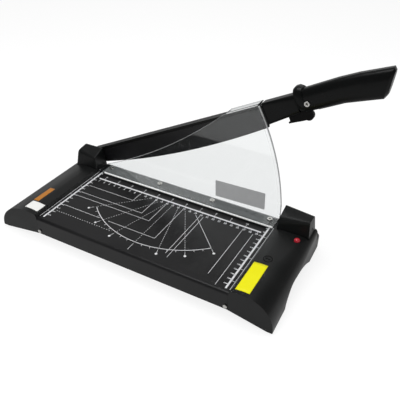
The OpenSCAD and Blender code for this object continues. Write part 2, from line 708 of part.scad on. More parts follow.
module pivot_bush() color([0.72, 0.6, 0.35]) on_arm() difference() {
    rod_y(bush_d, bar_y, bar_rear_y);
    rod_y(bolt_d + 2 * run_fit, bar_y - 1, bar_rear_y + 1);
}

// Grip: neck, collar and handle in two moulded halves around the tang

slice_t = 0.1;
module grip_section(s, y, hw, low, high, lean = 0, n = 2.6)
    translate([s, y, (low + high) / 2]) rotate([0, lean, 0])
        along_x(-slice_t, slice_t) polygon(squircle(hw, (high - low) / 2, n));

neck_low = -15.8;
neck_high = 15.3;
neck_rise = 3.8;
collar_low = -12;
handle_low = -14.4;
handle_high = 18;
pommel_s = handle_s + handle_l;
pommel_low = handle_low - 9.3;
pommel_high = handle_high - 1.1;
end_low = pommel_low + 4.7;
end_high = pommel_high - 5.2;

module grip_solid() {
    // neck, square at the bar and rounder at the collar
    hull() {
        grip_section(neck_s + slice_t, bar_mid_y, bar_t / 2 + 1.6, neck_low, neck_high, 0, 9);
        grip_section(collar_s, grip_y - 1, handle_hw - 1.5, neck_low + neck_rise, neck_high - 0.9, 0, 4);
    }
    // collar
    hull() {
        grip_section(collar_s - 0.5, grip_y, collar_hw - 1.6, collar_low + 1.6, collar_top - 1.8);
        grip_section(collar_s + 0.3 * collar_t, grip_y, collar_hw, collar_low, collar_top);
        grip_section(collar_s + 0.75 * collar_t, grip_y, collar_hw, collar_low, collar_top);
        grip_section(handle_s + 2, grip_y, collar_hw - 1.6, collar_low + 1.2, collar_top - 2.6);
    }
    // handle, swelling towards a leaned end
    hull() {
        grip_section(handle_s - 1, grip_y, handle_hw - 0.5, handle_low, handle_high - 0.4);
        grip_section(handle_s + 0.42 * handle_l, grip_y, handle_hw, handle_low - 0.1, handle_high + 0.8);
    }
    hull() {
        grip_section(handle_s + 0.42 * handle_l, grip_y, handle_hw, handle_low - 0.1, handle_high + 0.8);
        grip_section(handle_s + 0.64 * handle_l, grip_y, handle_hw + 0.3, handle_low - 3.6, handle_high - 0.1);
    }
    hull() {
        grip_section(handle_s + 0.64 * handle_l, grip_y, handle_hw + 0.3, handle_low - 3.6, handle_high - 0.1);
        grip_section(pommel_s - 13.5, grip_y, handle_hw + 0.3, pommel_low, pommel_high, handle_lean);
        grip_section(pommel_s - 10, grip_y, handle_hw - 3, end_low, end_high, handle_lean);
    }
}

// Room inside the grip for the tang and the latch
module grip_room() {
    block([neck_s - 2, tang_s + 0.5], [bar_mid_y - tang_t / 2 - 0.1, bar_mid_y + tang_t / 2 + 0.1],
        [tang_low - 0.1, tang_top + 0.1]);
    translate([hub_s, 0, hub_h]) along_y(latch_y - free_gap, latch_y + latch_t + free_gap)
        polygon([[-latch_reach - 7, -40], [-latch_reach - 7, -5], [-6, hub_r + 0.4], [hub_r + 1.5, hub_r + 0.4],
            [hub_r + 5.5, -1], [hub_r + 5.5, -40]]);
    rod_y(4 + 2 * set_fit, cut_y, grip_y + 6, hub_s, hub_h);
    // flat seat for the ring head, counterbores for the screws from the rear
    rod_y(8.4, cut_y - 10, ring_y, hub_s, hub_h);
    for (s = grip_screw_s) {
        rod_y(grip_screw_d + 0.1, grip_split_y - 4, grip_y + 8, s, grip_screw_h);
        rod_y(grip_head_d + 0.4, grip_y + 6, grip_y + 2 * collar_hw, s, grip_screw_h);
    }
}

ring_y = grip_y - handle_hw + 1.2;
grip_screw_s = [handle_s + 0.3 * handle_l, handle_s + 0.66 * handle_l];
grip_screw_h = -1;
grip_head_d = 2 * grip_screw_d + 0.8;

module grip_half(y0, y1) on_arm() difference() {
    intersection() {
        grip_solid();
        block([neck_s - 20, pommel_s + handle_l], [y0, y1], [-handle_l, handle_l]);
    }
    grip_room();
}
module grip_front() color([0.13, 0.135, 0.135]) grip_half(grip_y - 2 * collar_hw, grip_split_y);
module grip_rear() color([0.13, 0.135, 0.135]) grip_half(grip_split_y, grip_y + 2 * collar_hw);

module grip_screws() color([0.5, 0.5, 0.52]) on_arm() for (s = grip_screw_s) {
    rod_y(grip_screw_d, grip_split_y - 3.5, grip_y + 6 + eps, s, grip_screw_h);
    rod_y(grip_head_d, grip_y + 6, grip_y + 8.5, s, grip_screw_h);
}

module latch_screw() color([0.8, 0.8, 0.8]) on_arm() difference() {
    union() {
        rod_y(7.6, ring_y - 2, ring_y, hub_s, hub_h);
        rod_y(4, ring_y - eps, grip_y + 5.5, hub_s, hub_h);
    }
    rod_y(3, ring_y - 3, ring_y + 3, hub_s, hub_h);
}

// Lock latch: a lever on the ring screw with a hook at its near end and a thumb knob below

hook_drop = 19.6;
hook_t = 1.8;
hook_tip = 2.6;
module latch() color([0.1, 0.1, 0.1]) on_arm() translate([hub_s, 0, hub_h]) difference() {
    along_y(latch_y, latch_y + latch_t) union() {
        circle(r = hub_r);
        translate([-5.5, -17]) circle(r = knob_r);
        polygon([[-latch_reach, -9], [-latch_reach + 0.3, 1.2 - hook_drop],
            [-latch_reach - hook_tip, -hook_drop], [-latch_reach - hook_tip, -hook_drop - hook_t],
            [-14, -22.4], [-5, -22.4], [1, -13], [hub_r, 0], [-2, hub_r - 0.4]]);
    }
    rod_y(4 + 2 * run_fit, latch_y - 1, latch_y + latch_t + 1);
}

// Catch: steel angle behind the right cap; the hook swings under its edge when the arm is down

closed_angle = asin((edge_far - pivot_up - 2.5) / blade_s1);
function closed_x(s, h) = pivot_x + s * cos(closed_angle) - h * sin(closed_angle);
function closed_z(s, h) = pivot_z + s * sin(closed_angle) + h * cos(closed_angle);
lock_angle = 4.8;
hook_rise = latch_reach * sin(lock_angle) + 0.4;
catch_x1 = closed_x(hub_s - latch_reach - hook_tip, hub_h - hook_drop) - 0.4;
catch_l = 8;
catch_z = closed_z(hub_s - latch_reach, hub_h - hook_drop + 1.2) + hook_rise;
catch_t = 1.4;
catch_low = shelf_h + 0.3;
function catch_screws() = [for (z = [catch_low + 2.6, catch_z - 3.4]) [catch_x1 - catch_l / 2, z]];

module latch_catch() color([0.6, 0.6, 0.62]) difference() {
    union() {
        block([catch_x1 - catch_l, catch_x1], [cap_rear_y, cap_rear_y + catch_t],
            [catch_low, catch_z + catch_t]);
        block([catch_x1 - catch_l, catch_x1], [cap_rear_y, latch_y + latch_t + 1],
            [catch_z, catch_z + catch_t]);
    }
    for (p = catch_screws()) rod_y(2.8, cap_rear_y - 1, cap_rear_y + 4, p[0], p[1]);
}

module latch_catch_screws() color([0.5, 0.5, 0.52]) for (p = catch_screws()) {
    rod_y(2.5, cap_rear_y - cap_wall + 0.8, cap_rear_y + catch_t + eps, p[0], p[1]);
    rod_y(4.4, cap_rear_y + catch_t, cap_rear_y + catch_t + 1.2, p[0], p[1]);
}

// Rubber post on the right shelf that the neck comes down on
bumper_d = 8;
bumper_x = bed_x + 1.5 + bumper_d / 2;
bumper_top = closed_z(neck_s + 2, neck_low) - 0.1;
module arm_bumper() color([0.05, 0.05, 0.05]) rod_z(bumper_d, shelf_h, bumper_top, bumper_x, bar_mid_y);

// Guard: clear L-section with a fan-shaped wall, round at its far edge, and a lip over the raised arm

lip_s1 = sqrt(guard_r * guard_r - lip_top * lip_top) - 0.8;
lip_s0 = lip_s1 - lip_l;
rim_top = on_arm_point(lip_s1, lip_top);
// the round edge is struck about a place below and outside the pivot and ends upright beside the right cap
rim_mid = [pivot_x - 17, pivot_z - 15];
rim_r = norm(rim_top - rim_mid);
rim_in = rim_r - rim_w;
guard_right = bed_x - 1;
rim_a0 = max(acos(min(1, (guard_right - rim_mid[0]) / rim_r)), asin((foot_z + 1 - rim_mid[1]) / rim_r));
rim_a1 = atan2(rim_top[1] - rim_mid[1], rim_top[0] - rim_mid[0]);
rim_foot = asin((foot_z - rim_mid[1]) / rim_in);
function rim_edge() = concat([[rim_mid[0] + rim_r * cos(rim_a0), foot_z]],
    arc(rim_mid[0], rim_mid[1], rim_r, rim_a0, rim_a1, 30));
fan_tip = [-guard_half - 2, foot_z];
fan_top = on_arm_point(lip_s0, lip_top);
sag_dir = [fan_top[1] - fan_tip[1], fan_tip[0] - fan_top[0]] / norm(fan_top - fan_tip);
fan_steps = 20;
function fan_edge() = [for (i = [1:fan_steps]) let (t = i / fan_steps)
    fan_top + t * (fan_tip - fan_top) + 4 * guard_sag * t * (1 - t) * sag_dir];

module guard() color([0.85, 0.88, 0.9, 0.5]) difference() {
    union() {
        along_y(guard_y, guard_y + guard_t) polygon(concat(rim_edge(), [fan_top], fan_edge()));
        along_y(guard_y - 1.2, guard_y + eps) polygon(concat(rim_edge(),
            arc(rim_mid[0], rim_mid[1], rim_in, rim_a1, rim_foot, 30)));
        block([-guard_half, rim_edge()[0][0]], [guard_y - guard_foot_d, guard_y + eps],
            [foot_z, foot_z + foot_t]);
        on_arm() block([lip_s0, lip_s1 - 0.2], [guard_y + eps, guard_y + guard_t + lip_d],
            [lip_top - lip_t, lip_top]);
    }
    for (x = guard_screw_x) rod_z(post_d + 2 * set_fit, foot_z - 1, foot_z + foot_t + 1, x, post_y);
}

strip_end = 11;
strip_front = 0.8;
strip_rear = 2.6;
module press_strip() color([0.6, 0.6, 0.6]) difference() {
    block([-guard_half + strip_end - 4, guard_half - strip_end + 4],
        [guard_y - guard_foot_d + strip_front, guard_y - strip_rear], [strip_z, foot_z]);
    for (x = guard_screw_x) rod_z(post_d + 2 * set_fit, strip_z - 1, foot_z + 1, x, post_y);
}

module guard_rivets() color([0.8, 0.8, 0.78]) for (x = rivet_x) difference() {
    union() {
        rod_z(post_d, strip_z, foot_z + foot_t + eps, x, post_y);
        rod_z(screw_head_d, foot_z + foot_t, foot_z + foot_t + screw_head_h, x, post_y);
    }
    rod_z(screw_bore_d, foot_z, foot_z + 20, x, post_y);
}

// Posts that guide the clamp through the bed, each lifted by a spring in a cup below
post_collar_z = bed_h - sheet_t - collar_gap - post_collar_h;
module clamp_posts() color([0.8, 0.8, 0.78]) for (x = post_x) difference() {
    union() {
        rod_z(post_d, post_low_z, foot_z + foot_t + eps, x, post_y);
        rod_z(screw_head_d, foot_z + foot_t, foot_z + foot_t + screw_head_h, x, post_y);
        rod_z(post_collar_d, post_collar_z, post_collar_z + post_collar_h, x, post_y);
    }
    rod_z(screw_bore_d, foot_z, foot_z + 20, x, post_y);
}

module clamp_spring_cups() color([0.5, 0.5, 0.52]) for (x = post_x) difference() {
    rod_z(cup_d, cup_floor_z, bed_h - sheet_t, x, post_y);
    rod_z(cup_d - 2 * cup_wall, cup_floor_z + 2, bed_h, x, post_y);
}

module clamp_springs() color([0.65, 0.65, 0.67]) for (x = post_x) difference() {
    rod_z(post_collar_d - 0.6, cup_floor_z + 2, post_collar_z, x, post_y);
    rod_z(post_d + 1, cup_floor_z, post_collar_z + 1, x, post_y);
}

// Laser in the right tower, shining along the cut

laser_back_x = laser_face_x + laser_l;
module laser_module() color([0.72, 0.6, 0.3]) difference() {
    rod_x(laser_d, laser_face_x, laser_back_x, laser_y, laser_z);
    rod_x(lens_d - 2, laser_x0, laser_face_x + 4, laser_y, laser_z);
}

module laser_lens() color([0.7, 0.2, 0.2, 0.7])
    rod_x(lens_d, laser_face_x - lens_t, laser_face_x, laser_y, laser_z);

module laser_cradle() color([0.2, 0.2, 0.2]) difference() {
    block([laser_x0 + 10, laser_x0 + 22], [laser_y - laser_d / 2 - 2, laser_y + laser_d / 2 + 2],
        [seat_z, laser_z + 1]);
    rod_x(laser_d + 2 * set_fit, laser_x0, laser_back_x, laser_y, laser_z);
}

// Push switch on a small board under the crown

module circuit_board() color([0.1, 0.35, 0.15]) difference() {
    block([board_x - board_w / 2, board_x + board_w / 2], [board_y - board_d / 2, board_y + board_d / 2],
        [board_z, board_z + board_t]);
    for (x = board_boss_x) rod_z(2.6, board_z - 1, board_z + board_t + 1, x, board_boss_y);
}

module board_screws() color([0.5, 0.5, 0.52]) for (x = board_boss_x) {
    rod_z(4.5, board_z - 1.6, board_z, x, board_boss_y);
    rod_z(1.9, board_z - eps, board_z + board_t + 6, x, board_boss_y);
}

switch_z = board_z + board_t;
stem_d = 4;
module switch_body() color([0.12, 0.12, 0.13]) difference() {
    block([button_x - 4.5, button_x + 4.5], [button_y - 4.5, button_y + 4.5], [switch_z, switch_z + switch_h]);
    rod_z(stem_d + 2 * run_fit, switch_z + 1, switch_z + switch_h + 1, button_x, button_y);
}

skirt_top = stop_z - free_gap;
button_r = button_d / 2;
dome_r = (button_r * button_r + button_dome * button_dome) / (2 * button_dome);
module laser_button() color([0.78, 0.2, 0.25]) {
    translate([button_x, button_y, 0]) rotate_extrude() polygon(concat(
        [[0, skirt_top - eps], [button_r, skirt_top - eps]],
        arc(0, crown_z + button_proud - dome_r, dome_r, acos(button_r / dome_r), 90, 10)));
    rod_z(button_d + 3, skirt_top - 1.6, skirt_top, button_x, button_y);
    rod_z(stem_d, switch_z + 1 + button_travel + 0.4, skirt_top, button_x, button_y);
}

// Button cells in a tube under a coin-slot cap

battery_cap_h = crown_z - holder_top - 0.1;
stack_z = holder_top - 0.5 - cell_n * cell_t;
contact_h = 1.6;
holder_low = stack_z - contact_h - holder_wall;
module battery_holder() color([0.2, 0.2, 0.21]) difference() {
    rod_z(battery_cap_d + 2 * holder_wall, holder_low, holder_top, battery_x, battery_y);
    rod_z(cell_d + 0.4, holder_low + holder_wall, holder_top + 1, battery_x, battery_y);
}

module button_cells() color([0.75, 0.75, 0.76]) for (i = [0:cell_n - 1])
    rod_z(cell_d, stack_z + i * cell_t, stack_z + (i + 1) * cell_t - 0.05, battery_x, battery_y);

module battery_contact() color([0.75, 0.7, 0.5]) difference() {
    rod_z(cell_d - 2, stack_z - contact_h, stack_z, battery_x, battery_y);
    rod_z(cell_d - 3.4, stack_z - contact_h - 1, stack_z + 1, battery_x, battery_y);
}

coin_slot_w = 1.4;
module battery_cap() color([0.14, 0.14, 0.14]) difference() {
    rod_z(battery_cap_d, holder_top + 0.05, holder_top + battery_cap_h, battery_x, battery_y);
    block([battery_x - 0.36 * battery_cap_d, battery_x + 0.36 * battery_cap_d],
        [battery_y - coin_slot_w / 2, battery_y + coin_slot_w / 2],
        [holder_top + battery_cap_h - 1.2, crown_z + 1]);
}

// Leads: battery holder to board, board to laser module, each with a little swelling at its bends

lead_x = laser_x1 - 10;
lead_y = tower_front_y + 8;
lead_in = 3;
bend_d = lead_d + 0.4;
module lead(points) for (i = [0:len(points) - 2]) {
    a = points[i];
    b = points[i + 1];
    v = b - a;
    translate(a) rotate([0, acos(v[2] / norm(v)), atan2(v[1], v[0])]) cylinder(d = lead_d, h = norm(v));
    if (i > 0) translate(a) sphere(d = bend_d);
}

module laser_leads() color([0.5, 0.1, 0.1]) {
    lead_z = board_z + board_t + 3;
    near_x = board_x - board_w / 2 + 2 * lead_in;
    near_y = board_y - lead_in;
    far_x = board_x + board_w / 2 - lead_in;
    far_y = board_y + board_d / 2 - lead_in;
    lead([[battery_x, battery_y + battery_cap_d / 2 + holder_wall, lead_z],
        [battery_x, near_y, lead_z],
        [near_x, near_y, lead_z],
        [near_x, near_y, board_z + board_t]]);
    lead([[far_x, far_y, board_z + board_t],
        [far_x, far_y, lead_z + 1],
        [lead_x, lead_y, lead_z + 1],
        [lead_x, lead_y, laser_z],
        [lead_x, laser_y, laser_z],
        [laser_back_x, laser_y, laser_z]]);
}

// Moves a piece from the middle of the bed to the middle of the overall box

// Furthest place along X of one leaned slice of the grip
function slice_x(s, low, high) = on_arm_point(s, (low + high) / 2)[0]
    + (high - low) / 2 * abs(sin(handle_lean - open_angle)) + slice_t * cos(handle_lean - open_angle);
grip_end_x = max(slice_x(pommel_s - 13.5, pommel_low, pommel_high), slice_x(pommel_s - 10, end_low, end_high));
stand_x = (grip_end_x - bed_x - left_cap_w) / 2;
stand_y = (front_y - tap_head_h + grip_y + collar_hw) / 2;
module place() translate([-stand_x, -stand_y, 0]) children();

place() bed_tray();
place() counter_blade();
place() counter_blade_screws();
place() left_cap();
place() right_cap();
place() hinge_tower();
place() laser_tower();
place() rubber_feet();
place() lip_screws();
place() cap_screws();
place() pivot_plate();
place() pivot_plate_screws();
place() pivot_spacer();
place() pivot_bolt();
place() pivot_nut();
place() pivot_washers();
place() clamp_spring_cups();
place() clamp_springs();
place() latch_catch();
place() latch_catch_screws();
place() arm_bumper();
place() laser_module();
place() laser_lens();
place() laser_cradle();
place() circuit_board();
place() board_screws();
place() switch_body();
place() battery_holder();
place() button_cells();
place() battery_contact();
place() laser_leads();
place() laser_button();
place() battery_cap();
place() arm_bar();
place() blade();
place() blade_screws();
place() pivot_bush();
place() grip_front();
place() grip_rear();
place() grip_screws();
place() latch_screw();
place() latch();
place() guard();
place() press_strip();
place() guard_rivets();
place() clamp_posts();
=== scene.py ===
import math

import bmesh
import bpy
from mathutils import Matrix, Vector
from mathutils.bvhtree import BVHTree


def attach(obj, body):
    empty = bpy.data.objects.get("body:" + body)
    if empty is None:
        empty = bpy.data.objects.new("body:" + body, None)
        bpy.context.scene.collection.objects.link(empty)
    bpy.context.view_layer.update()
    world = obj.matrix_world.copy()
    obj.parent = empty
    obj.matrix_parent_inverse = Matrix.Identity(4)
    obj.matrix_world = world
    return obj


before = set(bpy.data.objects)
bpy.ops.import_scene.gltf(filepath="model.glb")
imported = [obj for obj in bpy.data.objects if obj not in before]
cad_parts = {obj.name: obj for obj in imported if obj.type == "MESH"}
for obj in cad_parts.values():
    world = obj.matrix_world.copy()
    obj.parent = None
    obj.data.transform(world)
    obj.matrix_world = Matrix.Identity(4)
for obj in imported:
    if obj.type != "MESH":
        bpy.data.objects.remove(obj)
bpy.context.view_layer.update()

MM = 0.001

# The dressing is drawn in millimetres about the middle of the bed, which lies here in the frame
BED_MIDDLE = Vector((-18.4127, -5.95, 0.0))
BED_TOP = 40.0
GUARD_FACE = 76.5
GUARD_REAR = GUARD_FACE + 3.0
FOOT_FRONT = 50.5
FOOT_LOW = 43.5
FOOT_TOP = 46.0


def linear(code):
    """Linear colour of an sRGB hex value."""
    parts = [int(code[i:i + 2], 16) / 255 for i in (1, 3, 5)]
    return tuple(c / 12.92 if c <= 0.04045 else ((c + 0.055) / 1.055) ** 2.4 for c in parts) + (1.0,)


def add(tree, kind, sockets=None, **settings):
    """Adds one node; settings are its properties, sockets its inputs, each a value or an output."""
    node = tree.nodes.new(kind)
    for name, value in settings.items():
        setattr(node, name, value)
    for name, value in (sockets or {}).items():
        if isinstance(value, bpy.types.NodeSocket):
            tree.links.new(value, node.inputs[name])
        else:
            node.inputs[name].default_value = value
    return node


def finish_of(name, **sockets):
    """A new material, its node tree and its shader; constant values go on the shader's own sockets."""
    made = bpy.data.materials.new(name)
    made.use_nodes = True
    shader = made.node_tree.nodes["Principled BSDF"]
    for key, value in sockets.items():
        shader.inputs[key.replace("_", " ")].default_value = value
    return made, made.node_tree, shader


def per_metre(size_mm):
    """Texture scale at which one repeat is about that many millimetres."""
    return 1.0 / (size_mm * MM)


def moulded_abs(name, colour, lighter, roughness, grain_mm, depth_mm, gloss):
    """ABS moulded in a spark-eroded tool: black, with a soft sheen, a fine grain and polished patches."""
    made, tree, shader = finish_of(name, IOR=1.53, Specular_IOR_Level=gloss)
    place = add(tree, "ShaderNodeTexCoord")
    # the real grain is about 0.1 mm; it is drawn coarser so that it shows
    grain = add(tree, "ShaderNodeTexNoise", {"Vector": place.outputs["Object"], "Scale": per_metre(grain_mm),
                                             "Detail": 3.0})
    patches = add(tree, "ShaderNodeTexNoise", {"Vector": place.outputs["Object"], "Scale": per_metre(45),
                                               "Detail": 4.0})
    sheen = add(tree, "ShaderNodeMapRange", {"Value": patches.outputs["Fac"], "From Min": 0.3,
                                             "From Max": 0.7,
                                             "To Min": roughness - 0.05, "To Max": roughness + 0.06})
    tone = add(tree, "ShaderNodeMix", {"Factor": patches.outputs["Fac"], "A": linear(colour),
                                       "B": linear(lighter)},
               data_type="RGBA")
    relief = add(tree, "ShaderNodeBump", {"Height": grain.outputs["Fac"], "Strength": 0.35,
                                          "Distance": depth_mm * MM})
    tree.links.new(tone.outputs["Result"], shader.inputs["Base Color"])
    tree.links.new(sheen.outputs["Result"], shader.inputs["Roughness"])
    tree.links.new(relief.outputs["Normal"], shader.inputs["Normal"])
    return made


def coated_steel(name, colour, lighter, roughness, peel_mm, depth_mm, gloss):
    """Powder coat or enamel on sheet steel: even colour, faint orange peel, dull patches from handling."""
    made, tree, shader = finish_of(name, IOR=1.5, Specular_IOR_Level=gloss)
    place = add(tree, "ShaderNodeTexCoord")
    peel = add(tree, "ShaderNodeTexNoise", {"Vector": place.outputs["Object"], "Scale": per_metre(peel_mm),
                                            "Detail": 2.0})
    handled = add(tree, "ShaderNodeTexNoise", {"Vector": place.outputs["Object"], "Scale": per_metre(60),
                                               "Detail": 5.0})
    sheen = add(tree, "ShaderNodeMapRange", {"Value": handled.outputs["Fac"], "From Min": 0.3,
                                             "From Max": 0.7,
                                             "To Min": roughness - 0.06, "To Max": roughness + 0.08})
    tone = add(tree, "ShaderNodeMix", {"Factor": handled.outputs["Fac"], "A": linear(colour),
                                       "B": linear(lighter)},
               data_type="RGBA")
    relief = add(tree, "ShaderNodeBump", {"Height": peel.outputs["Fac"], "Strength": 0.3,
                                          "Distance": depth_mm * MM})
    tree.links.new(tone.outputs["Result"], shader.inputs["Base Color"])
    tree.links.new(sheen.outputs["Result"], shader.inputs["Roughness"])
    tree.links.new(relief.outputs["Normal"], shader.inputs["Normal"])
    return made


def worked_metal(name, colour, darker, roughness, stretch, grit_mm, metallic=1.0):
    """Bare metal with the marks of its working: hair lines where brushed or ground, a bloom where plated."""
    made, tree, shader = finish_of(name, Metallic=metallic)
    place = add(tree, "ShaderNodeTexCoord")
    drawn = add(tree, "ShaderNodeMapping", {"Vector": place.outputs["Object"], "Scale": stretch})
    lines = add(tree, "ShaderNodeTexNoise", {"Vector": drawn.outputs["Vector"], "Scale": per_metre(grit_mm),
                                             "Detail": 3.0})
    tone = add(tree, "ShaderNodeMix", {"Factor": lines.outputs["Fac"], "A": linear(colour),
                                       "B": linear(darker)},
               data_type="RGBA")
    sheen = add(tree, "ShaderNodeMapRange", {"Value": lines.outputs["Fac"], "From Min": 0.3, "From Max": 0.7,
                                             "To Min": roughness - 0.07, "To Max": roughness + 0.1})
    relief = add(tree, "ShaderNodeBump", {"Height": lines.outputs["Fac"], "Strength": 0.2,
                                          "Distance": 0.03 * MM})
    tree.links.new(tone.outputs["Result"], shader.inputs["Base Color"])
    tree.links.new(sheen.outputs["Result"], shader.inputs["Roughness"])
    tree.links.new(relief.outputs["Normal"], shader.inputs["Normal"])
    return made


def plain_stock(name, colour, lighter, roughness, mottle_mm, **sockets):
    """Small parts of one stock: a faint mottle in colour and gloss."""
    made, tree, shader = finish_of(name, **sockets)
    place = add(tree, "ShaderNodeTexCoord")
    mottle = add(tree, "ShaderNodeTexNoise", {"Vector": place.outputs["Object"],
                                              "Scale": per_metre(mottle_mm), "Detail": 3.0})
    tone = add(tree, "ShaderNodeMix", {"Factor": mottle.outputs["Fac"], "A": linear(colour),
                                       "B": linear(lighter)},
               data_type="RGBA")
    sheen = add(tree, "ShaderNodeMapRange", {"Value": mottle.outputs["Fac"], "From Min": 0.3, "From Max": 0.7,
                                             "To Min": roughness - 0.04, "To Max": roughness + 0.06})
    tree.links.new(tone.outputs["Result"], shader.inputs["Base Color"])
    tree.links.new(sheen.outputs["Result"], shader.inputs["Roughness"])
    return made


# Satin black ABS of the caps and towers, and the darker one of the grip, whose grain swallows the light
abs_caps = moulded_abs("moulded_abs_black", "#101111", "#141515", 0.36, 0.9, 0.04, 0.3)
abs_grip = moulded_abs("moulded_abs_grip", "#0a0b0b", "#0e0f0f", 0.3, 0.8, 0.03, 0.16)
abs_latch = moulded_abs("moulded_abs_latch", "#0b0b0b", "#0f0f0f", 0.45, 0.8, 0.03, 0.1)
# Charcoal powder coat of the bed, fine grained and matt enough to read rulers on
powder_coat = coated_steel("powder_coated_steel_charcoal", "#151516", "#1a1a1b", 0.36, 1.1, 0.03, 0.32)
# Black stove enamel of the arm's bar, with a clear highlight on its flat top
enamel = coated_steel("stove_enamelled_steel_black", "#090909", "#0d0d0d", 0.38, 1.6, 0.02, 0.25)
# Plated, ground and brushed steels
zinc = worked_metal("zinc_plated_steel", "#b9bcc0", "#9da0a5", 0.32, (1, 1, 1), 2.5)
nickel = worked_metal("bright_nickel_plate", "#e0dfdb", "#d0cfcb", 0.25, (1, 1, 1), 2.0)
ground = worked_metal("surface_ground_steel", "#b4b6b8", "#96989b", 0.3, (0.04, 1, 1), 0.5)
# Brushed steel under a grey phosphate bath, so dull that it mirrors little
brushed = worked_metal("phosphated_brushed_steel", "#888989", "#717272", 0.6, (0.03, 1, 1), 0.6, 0.15)
bronze = worked_metal("sintered_bronze", "#a8804a", "#8a683a", 0.45, (1, 1, 1), 0.8)
brass = worked_metal("turned_brass", "#c9a455", "#a98540", 0.3, (0.2, 1, 1), 0.5)
# Matt black nitrile rubber, laminate and moulded inner parts; the rubber also makes the painted gap shade
# round the battery cap
rubber = plain_stock("nitrile_rubber_and_painted_shade", "#0c0c0c", "#131313", 0.75, 3.0, IOR=1.52, Specular_IOR_Level=0.1)
laminate = plain_stock("lacquered_glass_epoxy", "#17542c", "#1d6334", 0.3, 4.0, IOR=1.55)
nylon = plain_stock("moulded_nylon", "#1a1a1b", "#232324", 0.5, 5.0, IOR=1.53)
pvc = plain_stock("pvc_lead_sheath", "#8c1a18", "#a3211e", 0.4, 6.0, IOR=1.54)
# Glossy red polycarbonate of the button, faintly lit from within by scatter
red_cap = plain_stock("polycarbonate_red", "#a81f2d", "#b82a38", 0.25, 3.0, IOR=1.58, Subsurface_Weight=0.15,
                      Subsurface_Radius=(0.002, 0.0006, 0.0006))
# White screen ink of the rulers, slightly dull and thin
ink = plain_stock("screen_ink_white", "#d2d3d5", "#dedfe1", 0.6, 4.0, IOR=1.48, Specular_IOR_Level=0.3)
# Vinyl labels, plain fields
vinyl_yellow = plain_stock("vinyl_yellow", "#e6e003", "#ece708", 0.4, 14.0, IOR=1.5, Specular_IOR_Level=0.25)
vinyl_white = plain_stock("vinyl_white", "#e4e4e2", "#ecece9", 0.4, 14.0, IOR=1.5, Specular_IOR_Level=0.3)
vinyl_orange = plain_stock("vinyl_orange", "#a86a20", "#b57428", 0.4, 14.0, IOR=1.5, Specular_IOR_Level=0.3)
vinyl_silver = plain_stock("vinyl_silver_grey", "#b2b3b4", "#bdbebf", 0.4, 10.0, IOR=1.5)
# Saw-cut edge of the guard's foot: frosted, with a painted glow, an emission that stands for the light the
# clear sheet leads to it
cut_edge_painted_glow = plain_stock("saw_cut_acrylic_painted_glow", "#f2f4f3", "#fafbfa", 0.6, 5.0, IOR=1.49, Emission_Color=(1, 1, 1,
                                                                                                    1),
                       Emission_Strength=0.3)
# Frosted stock of the sawn edges, also used for the painted highlight on the guard's lip
sawn_edges_and_painted_highlight = plain_stock("sawn_acrylic_and_painted_highlight", "#c2c4c4", "#cfd1d1", 0.6, 5.0, IOR=1.49)


def cast_acrylic():
    """Cast acrylic, flame-polished: clear with a faint grey body and a slight haze in its gloss."""
    made, tree, shader = finish_of("cast_acrylic_clear", IOR=1.49, Transmission_Weight=1.0)
    shader.inputs["Base Color"].default_value = linear("#eff1f1")
    place = add(tree, "ShaderNodeTexCoord")
    haze = add(tree, "ShaderNodeTexNoise", {"Vector": place.outputs["Object"], "Scale": per_metre(30),
                                            "Detail": 6.0})
    gloss = add(tree, "ShaderNodeMapRange", {"Value": haze.outputs["Fac"], "From Min": 0.4, "From Max": 0.75,
                                             "To Min": 0.01, "To Max": 0.06})
    tree.links.new(gloss.outputs["Result"], shader.inputs["Roughness"])
    # light falls straight through the sheet onto what lies under it
    path = add(tree, "ShaderNodeLightPath")
    lamp = add(tree, "ShaderNodeMath", {0: path.outputs["Is Shadow Ray"], 1: path.outputs["Is Diffuse Ray"]},
               operation="MAXIMUM")
    clear = add(tree, "ShaderNodeBsdfTransparent", {"Color": linear("#f1f3f3")})
    both = add(tree, "ShaderNodeMixShader", {0: lamp.outputs["Value"], 1: shader.outputs["BSDF"],
                                             2: clear.outputs["BSDF"]})
    tree.links.new(both.outputs["Shader"], tree.nodes["Material Output"].inputs["Surface"])
    return made


def lens_glass():
    """Small moulded lens, tinted red and clear."""
    made, tree, shader = finish_of("tinted_lens", IOR=1.52, Transmission_Weight=0.9, Roughness=0.05)
    shader.inputs["Base Color"].default_value = linear("#b03030")
    return made


def blade_steel():
    """Black oxide on tool steel, with the ground bevel left bright where the face turns down and back."""
    made, tree, shader = finish_of("black_oxide_blade_steel")
    place = add(tree, "ShaderNodeTexCoord")
    drawn = add(tree, "ShaderNodeMapping", {"Vector": place.outputs["Object"], "Scale": (0.05, 1, 1)})
    lines = add(tree, "ShaderNodeTexNoise", {"Vector": drawn.outputs["Vector"], "Scale": per_metre(0.6),
                                             "Detail": 3.0})
    turned = add(tree, "ShaderNodeVectorMath", {0: place.outputs["Normal"], 1: (0.3, 0.6, -0.74)},
                 operation="DOT_PRODUCT")
    bevel = add(tree, "ShaderNodeMapRange", {"Value": turned.outputs["Value"], "From Min": 0.86,
                                             "From Max": 0.92})
    oxide = add(tree, "ShaderNodeMix", {"Factor": lines.outputs["Fac"], "A": linear("#0d0d0e"),
                                        "B": linear("#141416")},
                data_type="RGBA")
    tone = add(tree, "ShaderNodeMix", {"Factor": bevel.outputs["Result"], "A": oxide.outputs["Result"],
                                       "B": linear("#a9abad")}, data_type="RGBA")
    sheen = add(tree, "ShaderNodeMapRange", {"Value": lines.outputs["Fac"], "From Min": 0.3, "From Max": 0.7,
                                             "To Min": 0.3, "To Max": 0.42})
    tree.links.new(tone.outputs["Result"], shader.inputs["Base Color"])
    tree.links.new(bevel.outputs["Result"], shader.inputs["Metallic"])
    tree.links.new(sheen.outputs["Result"], shader.inputs["Roughness"])
    return made


acrylic = cast_acrylic()
tinted = lens_glass()
oxide_blade = blade_steel()


